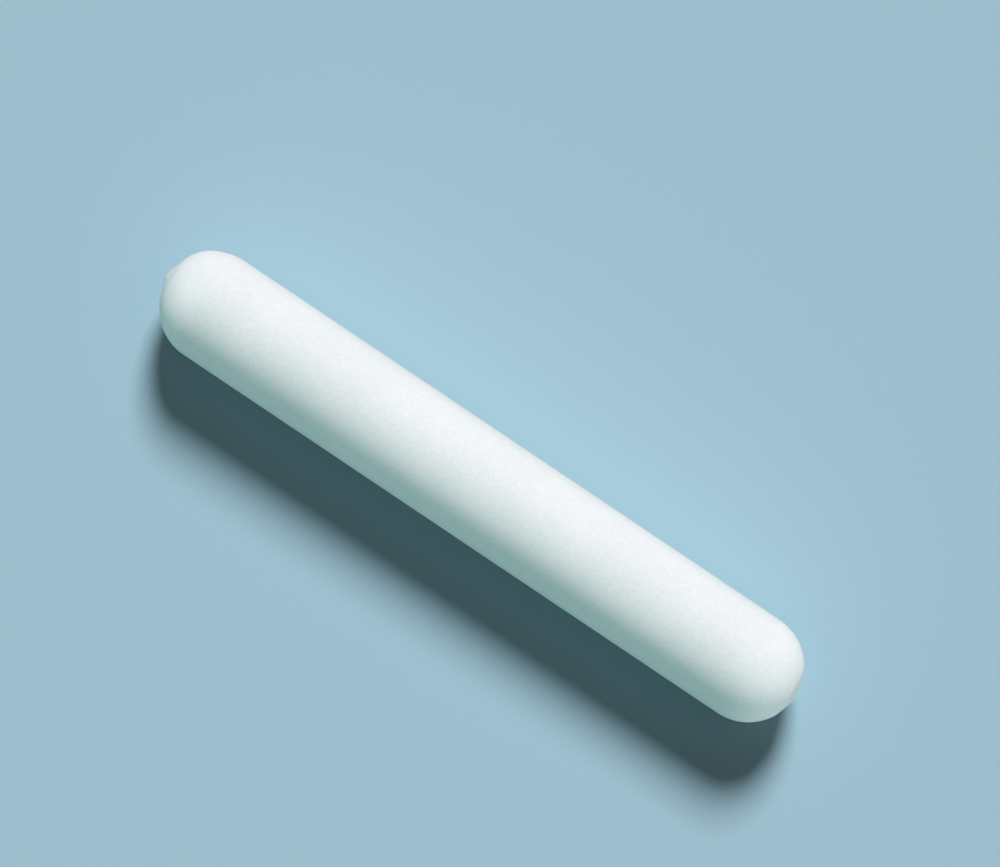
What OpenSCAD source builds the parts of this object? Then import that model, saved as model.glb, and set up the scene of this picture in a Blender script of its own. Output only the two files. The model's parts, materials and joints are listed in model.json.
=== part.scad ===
// Magnetic stir bar: a rod magnet sealed inside a seamless jacket of white PTFE.
// The bar lies along X with its middle at the origin, and is the same all round its axis.

/* [Bar] */
// Diameter of the barrel, the standard 6 mm size
bar_d = 6; // [4:0.5:12]
// Length over both tips
bar_l = 40.7; // [25:0.1:90]

/* [Rounded ends] */
// Angle off the axis at which each hemisphere gives way to its blunt nose
nose_angle = 27; // [24:1:32]
// How far the flank of the nose leans back from square to the axis, in degrees
nose_slope = 18.5; // [16:0.5:20]
// Distance from the axis at which the flank gives way to the rounded tip
tip_edge_r = 0.2; // [0.1:0.05:0.3]
// Radius of the tip's rounding
tip_r = 1.3; // [1.2:0.1:2]

/* [Magnet] */
// Wall of PTFE all round the magnet
wall = 1; // [0.5:0.1:1.4]
// How far the magnet stops short of each end of the straight barrel
magnet_inset = 0.25; // [0:0.05:2]
// Broken edge round each end of the magnet
magnet_chamfer = 0.3; // [0.1:0.05:0.4]

/* [Hidden] */
$fn = 128;

bar_r = bar_d / 2;

// Heights at an end are from the hemisphere's centre. The flank is a cone, which would come to a point
// at cone_h, and the tip is a ball that cuts it at tip_edge_r.
cone_h = bar_r * (cos(nose_angle) + sin(nose_angle) * tan(nose_slope));
tip_centre = cone_h - tip_edge_r * tan(nose_slope) - sqrt(tip_r * tip_r - tip_edge_r * tip_edge_r);
end_h = tip_centre + tip_r;
barrel_l = bar_l - 2 * end_h;

magnet_r = bar_r - wall;
magnet_l = barrel_l - 2 * magnet_inset;

// Half outline of one rounded end: x outwards from the axis, y along it from the hemisphere's centre.
// The cone trims the ball of the end, the ball of the tip, and a core that fills in between them.
module end_outline() {
    intersection() {
        polygon([[0, -bar_r], [bar_d, -bar_r], [bar_d, cone_h - bar_d * tan(nose_slope)], [0, cone_h]]);
        union() {
            circle(bar_r);
            translate([0, tip_centre]) circle(tip_r);
            square([bar_r * sin(nose_slope), tip_centre + tip_r * cos(nose_slope)]);
        }
    }
}

// Half outline of the whole bar, with the barrel between two equal ends
module bar_outline() {
    translate([0, -barrel_l / 2]) square([bar_r, barrel_l]);
    translate([0, barrel_l / 2]) end_outline();
    translate([0, -barrel_l / 2]) mirror([0, 1]) end_outline();
}

// Half outline of the magnet, and of the cavity that the jacket is moulded round
module magnet_outline() {
    end = magnet_l / 2;
    shoulder = end - magnet_chamfer;
    face_r = magnet_r - magnet_chamfer;
    polygon([[0, -end], [face_r, -end], [magnet_r, -shoulder],
             [magnet_r, shoulder], [face_r, end], [0, end]]);
}

// Turns a half outline into a solid of revolution about X
module turned_about_x() {
    rotate([0, 90, 0]) rotate_extrude() children();
}

module jacket() {
    color("whitesmoke") difference() {
        turned_about_x() bar_outline();
        turned_about_x() magnet_outline();
    }
}

module magnet() {
    color("dimgray") turned_about_x() magnet_outline();
}

jacket();
magnet();
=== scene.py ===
# %% [markdown]
# # A magnetic stir bar
#
# A stir bar is the smallest stirrer there is: a rod magnet, sealed in a smooth white jacket of PTFE,
# that lies on the bottom of a beaker and is spun by a second magnet under it. There is no seam, ring or
# lettering on this one, so all of its character is in three things: a turned form with blunt noses, a
# milky plastic that lets light in a little way before it gives it back, and soft light that rolls round
# the barrel.
#
# The main sizes come from the imported model. What it doesn't state is set here by value: the finish, the
# light, and how far the ends are out of true. The model is loaded first, and its box is kept, because the
# finished bar is meant to stay inside that box.

# %% Load the imported model
import json
import math

import bpy
from mathutils import Matrix, Vector


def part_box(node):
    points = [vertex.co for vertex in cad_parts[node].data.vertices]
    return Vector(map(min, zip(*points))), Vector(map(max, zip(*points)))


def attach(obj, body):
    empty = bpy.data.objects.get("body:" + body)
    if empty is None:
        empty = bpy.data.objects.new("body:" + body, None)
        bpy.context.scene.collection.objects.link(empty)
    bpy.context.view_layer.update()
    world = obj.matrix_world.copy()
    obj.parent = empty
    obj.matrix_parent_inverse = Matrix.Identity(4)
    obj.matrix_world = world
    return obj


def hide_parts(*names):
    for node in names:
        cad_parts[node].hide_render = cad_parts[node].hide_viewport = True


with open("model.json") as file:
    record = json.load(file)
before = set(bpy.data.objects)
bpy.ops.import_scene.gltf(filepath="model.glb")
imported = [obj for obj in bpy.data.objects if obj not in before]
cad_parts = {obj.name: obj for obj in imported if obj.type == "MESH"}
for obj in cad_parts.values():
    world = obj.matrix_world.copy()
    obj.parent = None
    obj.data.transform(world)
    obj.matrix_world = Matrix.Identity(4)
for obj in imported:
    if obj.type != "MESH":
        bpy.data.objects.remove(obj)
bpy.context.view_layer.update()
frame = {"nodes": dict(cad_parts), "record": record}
print("packed pieces:", sorted(frame["nodes"]))

# %% [markdown]
# ## The measures
#
# The record states the barrel as a pin: its radius and its straight length. The jacket's box adds how far
# the rounded ends reach, and the magnet's box gives the cavity. Everything else follows from those.

# %% Read the bar's measures
MM = 0.001
barrel = next(m for m in frame["record"]["mounts"] if m["name"] == "barrel")
bar_r = barrel["dims"]["r_mm"] * MM
barrel_l = barrel["dims"]["length_mm"] * MM
tip_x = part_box("jacket")[1].x
magnet_low, magnet_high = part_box("magnet")
magnet_l = magnet_high.x - magnet_low.x
magnet_r = magnet_high.y
print(f"bar {2 * tip_x / MM:.2f} mm long and {2 * bar_r / MM:.2f} mm thick")
print(f"magnet {magnet_l / MM:.2f} mm long, {2 * magnet_r / MM:.2f} mm thick")

# %% [markdown]
# ## Small helpers for modelling
#
# An operator works on whatever is selected, and loading the model leaves its pieces selected. So each
# new piece starts from an empty selection. In edit mode the parts to work on are picked in code, by
# where they are, which is what a hand would do with a box selection.

# %% Helpers: a clean start, and picking by place
def start_clean():
    """Leaves edit mode and deselects every object."""
    if bpy.context.object and bpy.context.object.mode == "EDIT":
        bpy.ops.object.mode_set(mode="OBJECT")
    bpy.ops.object.select_all(action="DESELECT")


def pick(piece, mode, test):
    """Selects the vertices, edges or faces of a piece in edit mode whose centre passes the test."""
    bpy.ops.object.mode_set(mode="EDIT")
    bpy.ops.mesh.select_all(action="DESELECT")
    bpy.ops.mesh.select_mode(type=mode)
    bpy.ops.object.mode_set(mode="OBJECT")
    mesh = piece.data
    parts = {"VERT": mesh.vertices, "EDGE": mesh.edges, "FACE": mesh.polygons}[mode]
    for part in parts:
        if mode == "VERT":
            middle = part.co
        else:
            corners = [mesh.vertices[i].co for i in part.vertices]
            middle = sum(corners, Vector()) / len(corners)
        part.select = test(middle)
    bpy.ops.object.mode_set(mode="EDIT")
    return sum(part.select for part in parts)


def smallest_step(count, radius):
    """The length of one side of a ring of that many sides."""
    return 2 * radius * math.sin(math.pi / count)


# %% [markdown]
# ## Half an outline
#
# The jacket is the same all round its axis, so it can be turned, as on a lathe: half of its outline is
# drawn flat and then spun. The barrel and the ends are then one skin, as they are on the real bar, where
# the powder is pressed round the magnet and baked until it fuses. A cylinder with two balls stuck on it
# would have a seam at each joint.
#
# The outline of one end starts as a circle of the barrel's own radius, with a corner every three degrees.
# Only the quarter between barrel and axis is kept, and of that only the part outside the nose.

# %% Keep the round part of one end
CIRCLE_SIDES = 120
nose_angle = math.radians(27)

start_clean()
bpy.ops.mesh.primitive_circle_add(
    vertices=CIRCLE_SIDES, radius=bar_r, location=(barrel_l / 2, 0, 0))
jacket = bpy.context.object
jacket.name = "ptfe_jacket"
bpy.ops.object.transform_apply(location=True)

hair = smallest_step(CIRCLE_SIDES, bar_r) / 100
nose_edge = Vector((barrel_l / 2 + bar_r * math.cos(nose_angle), bar_r * math.sin(nose_angle), 0))
pick(jacket, "VERT", lambda co: co.x < barrel_l / 2 - hair or co.y < nose_edge.y - hair)
bpy.ops.mesh.delete(type="VERT")
bpy.ops.object.mode_set(mode="OBJECT")
print("corners left on the round:", len(jacket.data.vertices))

# %% [markdown]
# ## The flank, the tip and the barrel
#
# Inside the last 27 degrees the end isn't a ball any more. A straight flank runs to the tip, 18.5 degrees
# off square, so the nose is a very blunt cone, with a small rounded tip on it. It differs from a ball by
# less than a tenth of a millimetre, yet it decides whether the outline looks made or computed. The angle,
# the slope and the tip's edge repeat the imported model's values, which the frame doesn't give. One end of
# the open outline is extruded twice for them, and the other end once, to the middle of the bar. Each new
# straight is then cut into short steps, so that the skin bends evenly later on.

# %% Extrude the nose and the barrel
nose_slope = math.radians(18.5)
tip_edge_r = 0.2 * MM
tip_edge_x = nose_edge.x + (nose_edge.y - tip_edge_r) * math.tan(nose_slope)
STRAIGHTS = {"flank": 12, "tip": 2, "barrel": 86}


def run_on(start, end, cuts):
    """Extrudes the outline from one of its open ends to a point, and cuts the new edge evenly."""
    pick(jacket, "VERT", lambda co: (co - start).length < hair)
    bpy.ops.mesh.extrude_vertices_move(TRANSFORM_OT_translate={"value": end - start})
    middle = (start + end) / 2
    pick(jacket, "EDGE", lambda co: (co - middle).length < hair)
    bpy.ops.mesh.subdivide(number_cuts=cuts)
    bpy.ops.object.mode_set(mode="OBJECT")


tip_edge = Vector((tip_edge_x, tip_edge_r, 0))
run_on(nose_edge, tip_edge, STRAIGHTS["flank"])
run_on(tip_edge, Vector((tip_x, 0, 0)), STRAIGHTS["tip"])
run_on(Vector((barrel_l / 2, bar_r, 0)), Vector((0, bar_r, 0)), STRAIGHTS["barrel"] // 2)
print("corners of the half outline:", len(jacket.data.vertices))

# %% [markdown]
# ## Spin it
#
# The outline is spun once round the axis. The last step lands on the first and the tip's point was spun
# on the spot, so what coincides is merged. A Mirror modifier makes the other half. Spinning and mirroring
# can turn a shell inside out, so its faces are made to point outwards at the end.

# %% Turn the outline and mirror it
SEGMENTS = 144

bpy.ops.object.mode_set(mode="EDIT")
bpy.ops.mesh.select_all(action="SELECT")
bpy.ops.mesh.spin(steps=SEGMENTS, angle=math.tau, center=(0, 0, 0), axis=(1, 0, 0))
bpy.ops.mesh.select_all(action="SELECT")
bpy.ops.mesh.remove_doubles(threshold=hair)
bpy.ops.object.mode_set(mode="OBJECT")


def tips():
    """How far the jacket reaches to either side along X, in millimetres."""
    return [reach(v.co.x for v in jacket.data.vertices) / MM for reach in (min, max)]


other_half = jacket.modifiers.new("other_half", "MIRROR")
other_half.merge_threshold = hair
bpy.ops.object.modifier_apply(modifier=other_half.name)
bpy.ops.object.mode_set(mode="EDIT")
bpy.ops.mesh.select_all(action="SELECT")
bpy.ops.mesh.normals_make_consistent(inside=False)
bpy.ops.object.mode_set(mode="OBJECT")
print(f"{len(jacket.data.polygons)} faces, tips at", [round(x, 3) for x in tips()], "mm")

# %% [markdown]
# ## No two ends come out alike
#
# The real ends aren't quite round. The left one is fuller on the lit side, with a faint shoulder, and
# flatter on the other. The right one is flattened a little beside its tip. It is about a tenth of a
# millimetre at most, but it is what tells an outline of this bar from one drawn with compasses. How far
# round the axis each change reaches is a guess. Proportional editing is the tool for it: one vertex is
# moved in or out, and the skin round it follows less and less, with no edge where the change ends. Last,
# both noses are smoothed a little, so that no crisp edge is left on them.

# %% Press the ends out of true
def press(side, off_axis, outwards, reach):
    """Moves one spot of an end's outline in or out, and lets the skin within reach follow it smoothly."""
    angle = math.radians(off_axis)
    out = Vector((side * math.cos(angle), math.sin(angle), 0))
    spot = Vector((side * barrel_l / 2, 0, 0)) + bar_r * out
    nearest = min((v.co for v in jacket.data.vertices), key=lambda co: (co - spot).length).copy()
    pick(jacket, "VERT", lambda co: (co - nearest).length < hair)
    bpy.ops.transform.translate(
        value=outwards * out, use_proportional_edit=True,
        proportional_edit_falloff="SMOOTH", proportional_size=reach)
    bpy.ops.object.mode_set(mode="OBJECT")


press(-1, 45, 0.055 * MM, 1.2 * MM)
press(-1, -36.5, -0.12 * MM, 3.2 * MM)
press(1, 10, -0.065 * MM, 1.7 * MM)

nose_start = barrel_l / 2 + 0.6 * bar_r
pick(jacket, "VERT", lambda co: abs(co.x) > nose_start)
bpy.ops.mesh.vertices_smooth(factor=0.5, repeat=4)
bpy.ops.object.mode_set(mode="OBJECT")
print("tips now at", [round(x, 3) for x in tips()], "mm")

# %% [markdown]
# ## A pressed surface is never quite true
#
# The skin gets a very slight swell, a few thousandths of a millimetre high and a millimetre or two long.
# Its size is made up: it can't be seen as a shape, and it is there to keep the soft edge of the shading
# from looking ruled. It belongs in the mesh, so a Displace modifier makes it, from a cloud
# pattern. The middle level is the pattern's top, so the skin only ever moves inwards and the bar keeps to
# its size.

# %% Give the skin its slight swell
swell_height = 0.008 * MM
swell_length = 1.6 * MM

clouds = bpy.data.textures.new("slight_swell", "CLOUDS")
clouds.noise_scale = swell_length
clouds.noise_depth = 1
swell = jacket.modifiers.new("slight_swell", "DISPLACE")
swell.texture = clouds
swell.texture_coords = "LOCAL"
swell.strength = swell_height
swell.mid_level = 1
bpy.ops.object.modifier_apply(modifier=swell.name)

# %% [markdown]
# ## The jacket's inside
#
# The powder is pressed round the magnet, so the cavity is the magnet's own shape, broken edges included.
# A ring of straight sides cuts inside the circle that it stands for, so the cavity is drawn a hair
# larger, until its flats just touch the magnet. Its faces are turned round, because outwards from the
# plastic is inwards here.

# %% Line the cavity and join it to the skin
CAVITY_SIDES = 96
broken_edge = 0.3 * MM
cavity_r = magnet_r / math.cos(math.pi / CAVITY_SIDES)

start_clean()
bpy.ops.mesh.primitive_cylinder_add(
    vertices=CAVITY_SIDES, radius=cavity_r, depth=magnet_l, rotation=(0, math.radians(90), 0))
cavity = bpy.context.object
bpy.ops.object.transform_apply(rotation=True)
rim = magnet_l / 2 - hair
pick(cavity, "EDGE", lambda middle: abs(middle.x) > rim)
bpy.ops.mesh.bevel(offset=broken_edge, segments=1)
bpy.ops.mesh.select_all(action="SELECT")
bpy.ops.mesh.flip_normals()
bpy.ops.object.mode_set(mode="OBJECT")

jacket.select_set(True)
bpy.context.view_layer.objects.active = jacket
bpy.ops.object.join()
bpy.ops.object.shade_smooth_by_angle(angle=math.radians(30))
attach(jacket, "root")
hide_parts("jacket")
print("jacket, inside and out:", len(jacket.data.polygons), "faces")

# %% [markdown]
# ## A short way to write materials
#
# A material is arithmetic on values that change over the surface. `Wire` stands for one such value, and
# adding or multiplying wires adds the Math nodes, so a mask reads like a formula. Any other node comes
# from `Graph.add`, which sets the node's own settings first and then its sockets. What is the same all
# over the surface is set straight on the shader.

# %% Wires and graphs
class Wire:
    """The output of a node. Arithmetic on wires adds Math nodes to their graph."""

    def __init__(self, graph, socket):
        self.graph = graph
        self.socket = socket

    def maths(self, operation, *values):
        return self.graph.add("ShaderNodeMath", {"operation": operation}, dict(enumerate(values)))

    def __add__(self, other):
        return self.maths("ADD", self, other)

    def __radd__(self, other):
        return self.maths("ADD", other, self)

    def __sub__(self, other):
        return self.maths("SUBTRACT", self, other)

    def __rsub__(self, other):
        return self.maths("SUBTRACT", other, self)

    def __mul__(self, other):
        return self.maths("MULTIPLY", self, other)

    def __rmul__(self, other):
        return self.maths("MULTIPLY", other, self)


class Graph:
    """The nodes of one material or world."""

    def __init__(self, tree):
        self.tree = tree
        tree.nodes.clear()

    def add(self, kind, settings=None, inputs=None, output=0):
        """Adds a node: its settings first, then each input as a number, a colour or a wire."""
        node = self.tree.nodes.new(kind)
        for name, value in (settings or {}).items():
            setattr(node, name, value)
        for name, value in (inputs or {}).items():
            if isinstance(value, Wire):
                self.tree.links.new(value.socket, node.inputs[name])
            else:
                node.inputs[name].default_value = value
        return Wire(self, node.outputs[output]) if node.outputs else node

    def place(self):
        """Where a point is on the piece, in metres."""
        return self.add("ShaderNodeTexCoord", output="Object")

    def noise(self, length, detail=2, **inputs):
        """Soft noise from 0 to 1, with patches about that long."""
        sockets = {"Vector": self.place(), "Scale": 1 / length, "Detail": detail, **inputs}
        return self.add("ShaderNodeTexNoise", {}, sockets)

    def between(self, value, low, high, to_low=0.0, to_high=1.0):
        """Maps low..high smoothly on to to_low..to_high."""
        sockets = {"Value": value, 1: low, 2: high, 3: to_low, 4: to_high}
        return self.add("ShaderNodeMapRange", {"interpolation_type": "SMOOTHSTEP"}, sockets)

    def tint(self, value, colour_at_0, colour_at_1):
        """Runs from one colour to another as the value goes from 0 to 1."""
        sockets = {0: value, 6: (*colour_at_0, 1), 7: (*colour_at_1, 1)}
        return self.add("ShaderNodeMix", {"data_type": "RGBA"}, sockets, output=2)

    def times(self, colour, other):
        """Multiplies one colour by another, as a stain does."""
        sockets = {0: 1.0, 6: colour, 7: other}
        return self.add("ShaderNodeMix", {"data_type": "RGBA", "blend_type": "MULTIPLY"}, sockets, output=2)

    def relief(self, height, metres, under=None):
        """Bumps the surface by a height from 0 to 1, times that many metres."""
        sockets = {"Height": height, "Distance": metres}
        if under:
            sockets["Normal"] = under
        return self.add("ShaderNodeBump", {}, sockets)


def finish_named(name):
    """A new material, and its empty graph."""
    material = bpy.data.materials.new(name)
    material.use_nodes = True
    return material, Graph(material.node_tree)


# %% [markdown]
# ## White PTFE
#
# PTFE is white all through, but it isn't paint. Light goes in, wanders a little and comes back out, so
# the edge of a shadow on it is soft and some light creeps round into the dark side. That is subsurface
# scattering, and its depth of about a third of a millimetre is a guess. The surface bends light less
# than other plastics do, with an index of 1.35, so its shine is faint and wide, like wax. The specular
# level is half the usual one as well, because the noses glared when they were seen from the ends.
# What varies is slight: cloudy patches, and the fine grain of the baked powder. Most of the grain is in
# the colour, because light that wanders inside hides a relief as fine as that. The bump only breaks up
# the sheen.

# %% Make the PTFE finish
def white_ptfe():
    material, g = finish_named("white_ptfe")
    cloud = g.noise(4.5 * MM, detail=3)
    grain = g.noise(0.17 * MM, detail=2)
    skin = g.noise(0.9 * MM, detail=4, Roughness=0.6)
    white = g.tint(g.between(cloud, 0.35, 0.65), (0.93, 0.935, 0.925), (0.90, 0.91, 0.90))
    colour = g.times(white, g.tint(g.between(grain, 0.25, 0.75), (1, 1, 1), (0.94, 0.94, 0.94)))
    roughness = g.between(skin, 0.3, 0.7, 0.5, 0.6)
    normal = g.relief(grain, 0.006 * MM, under=g.relief(skin, 0.003 * MM))
    surface = g.add("ShaderNodeBsdfPrincipled", {}, {
        "Base Color": colour, "Roughness": roughness, "Normal": normal,
        "IOR": 1.35, "Specular IOR Level": 0.25,
        "Subsurface Weight": 0.6, "Subsurface Radius": (1.0, 0.9, 0.8), "Subsurface Scale": 0.35 * MM})
    g.add("ShaderNodeOutputMaterial", {}, {"Surface": surface})
    return material


jacket.data.materials.clear()
jacket.data.materials.append(white_ptfe())

# %% [markdown]
# ## The magnet
#
# The magnet is a rod of cast aluminium, nickel and cobalt alloy. It is too hard to turn, so it is cast
# and then ground: fine rings run round the barrel, and the casting's small pits stay in it. It can't be
# seen from outside, but the piece is there, so it gets its own metal.

# %% Make the ground casting's finish
def cast_magnet():
    material, g = finish_named("cast_magnet")
    apart = g.add("ShaderNodeSeparateXYZ", {}, {0: g.place()})
    rings = g.add("ShaderNodeTexNoise", {"noise_dimensions": "1D"},
                  {"W": apart, "Scale": 1 / (0.05 * MM), "Detail": 3})
    patches = g.noise(1.5 * MM, detail=4)
    pits = g.between(g.noise(0.22 * MM, detail=1), 0.66, 0.74)
    colour = g.tint(g.between(patches, 0.35, 0.65), (0.36, 0.355, 0.35), (0.27, 0.27, 0.28))
    roughness = g.between(rings, 0.3, 0.7, 0.32, 0.48) + 0.25 * pits
    normal = g.relief(rings - 1.5 * pits, 0.004 * MM)
    surface = g.add("ShaderNodeBsdfPrincipled", {}, {
        "Base Color": colour, "Roughness": roughness, "Normal": normal, "Metallic": 1.0})
    g.add("ShaderNodeOutputMaterial", {}, {"Surface": surface})
    return material


magnet = frame["nodes"]["magnet"]
magnet.data.materials.clear()
magnet.data.materials.append(cast_magnet())

# %% [markdown]
# ## The table
#
# The bar lies on a plain pale surface, and the floor is set at the barrel's radius below the axis. It is
# pale only to the eye. The light that it throws back on the bar is that of a darker, blue-green table,
# and the Light Path node tells the two apart. A floor that is pale to both would leave the shaded side
# of the bar lighter and less cool.

# %% Lay the floor
FLOOR_SIDE = 4
pale = (0.52, 0.80, 0.92)
bounce = (0.06, 0.19, 0.2)


def seen(g):
    """1 for light that reaches the eye straight, off a gloss or through glass, and 0 for soft light."""
    path = g.add("ShaderNodeLightPath", output="Is Camera Ray").socket.node
    camera, gloss, glass = (Wire(g, path.outputs[n]) for n in
                            ("Is Camera Ray", "Is Glossy Ray", "Is Transmission Ray"))
    return camera.maths("MAXIMUM", camera, gloss.maths("MAXIMUM", gloss, glass))


def pale_floor():
    material, g = finish_named("pale_floor")
    surface = g.add("ShaderNodeBsdfPrincipled", {}, {
        "Base Color": g.tint(seen(g), bounce, pale), "Roughness": 0.9, "Specular IOR Level": 0.0})
    g.add("ShaderNodeOutputMaterial", {}, {"Surface": surface})
    return material


start_clean()
bpy.ops.mesh.primitive_plane_add(size=FLOOR_SIDE, location=(0, 0, -bar_r))
floor = bpy.context.object
floor.name = "floor"
floor.data.materials.append(pale_floor())

# %% [markdown]
# ## Light
#
# One soft lamp models the bar. It is a sun, which lights the floor evenly however far the floor runs, and
# it is eighteen degrees wide, so the shadow has a clear core and a soft rim. It stands behind the bar and
# a little towards the left end.
#
# Three wide lamps, weaker than the first, stand in for what a blue-green table sends back: one along the
# shaded side, and one beyond each end. The side one is tinted most. Light linking keeps them to the bar,
# so the shadow on the floor stays deep, which real lamps in those places wouldn't do. They give no gloss,
# because it glared when the bar was seen from its ends.

# %% Hang the lamps
KEY = 0.905
KEY_FROM = Vector((-0.257, 0.702, 0.678)).normalized()
KEY_COLOUR = (0.955, 0.937, 0.968)
LAMP_DISTANCE = 0.5
FILL_WIDTH = 0.3
FILLS = {"side_fill": ((0, -0.866, 0.5), 0.35, (0.55, 1.0, 0.97)),
         "left_fill": ((-0.98, 0.17, 0.09), 0.27, (0.68, 0.95, 1.0)),
         "right_fill": ((0.98, 0.17, 0.09), 0.65, (0.85, 0.97, 1.0))}


def hang(name, kind, direction, colour):
    """Hangs a lamp of that kind in that direction from the bar, and aims it at the bar."""
    lamp = bpy.data.lights.new(name, kind)
    lamp.color = colour
    holder = bpy.data.objects.new(name, lamp)
    bpy.context.scene.collection.objects.link(holder)
    holder.location = direction * LAMP_DISTANCE
    holder.rotation_euler = direction.to_track_quat("Z", "Y").to_euler()
    return holder


# At strength 1, either kind of lamp turns a white surface that faces it about white.
key = hang("key", "SUN", KEY_FROM, KEY_COLOUR)
key.data.angle = math.radians(18.2)
key.data.energy = KEY * math.pi

bar_only = bpy.data.collections.new("lit_by_the_fills")
bar_only.objects.link(jacket)
for name, (towards, strength, colour) in FILLS.items():
    fill = hang(name, "AREA", Vector(towards).normalized(), colour)
    fill.data.shape = "DISK"
    fill.data.size = FILL_WIDTH
    fill.data.energy = strength * (math.pi * LAMP_DISTANCE) ** 2
    fill.visible_glossy = False
    fill.light_linking.receiver_collection = bar_only
print("lamps:", "key", *FILLS)

# %% [markdown]
# ## The air
#
# The room adds a low, even grey light from all round. The eye sees something else in its place: a colour
# as bright as the lit floor, worked out from the lamp's height and the floor's colour, so that the floor
# runs on without a horizon.

# %% Fill the room
AIR = 0.07
far_floor = [p * (KEY * KEY_FROM.z * c + AIR) for p, c in zip(pale, KEY_COLOUR)]

world = bpy.data.worlds.new("room")
world.use_nodes = True
room = Graph(world.node_tree)
air = room.tint(seen(room), (AIR, AIR, AIR), far_floor)
background = room.add("ShaderNodeBackground", {}, {"Color": air})
room.add("ShaderNodeOutputWorld", {}, {"Surface": background})
bpy.context.scene.world = world
print("the far floor's colour:", [round(c, 3) for c in far_floor])

# %% [markdown]
# ## The camera
#
# The camera looks straight down, from far enough that the outline hardly changes with depth. It is turned
# so that the bar runs down to the right across the picture, and stands a little to one side, so that the
# bar lies just below the middle.

# %% Set up the camera
bar_slope = math.radians(33.856)
camera_height = 0.4
picture_width = 53.58 * MM
aim_right = 1.03 * MM
aim_up = 2.857 * MM

lens = bpy.data.cameras.new("camera")
lens.lens = lens.sensor_width * camera_height / picture_width
camera = bpy.data.objects.new("camera", lens)
bpy.context.scene.collection.objects.link(camera)
turn = Matrix.Rotation(bar_slope, 4, "Z")
camera.matrix_world = turn @ Matrix.Translation((aim_right, aim_up, camera_height))
bpy.context.scene.camera = camera
bpy.context.scene.view_settings.view_transform = "Standard"
print(f"a {lens.lens:.0f} mm lens, {camera_height} m above the bar")
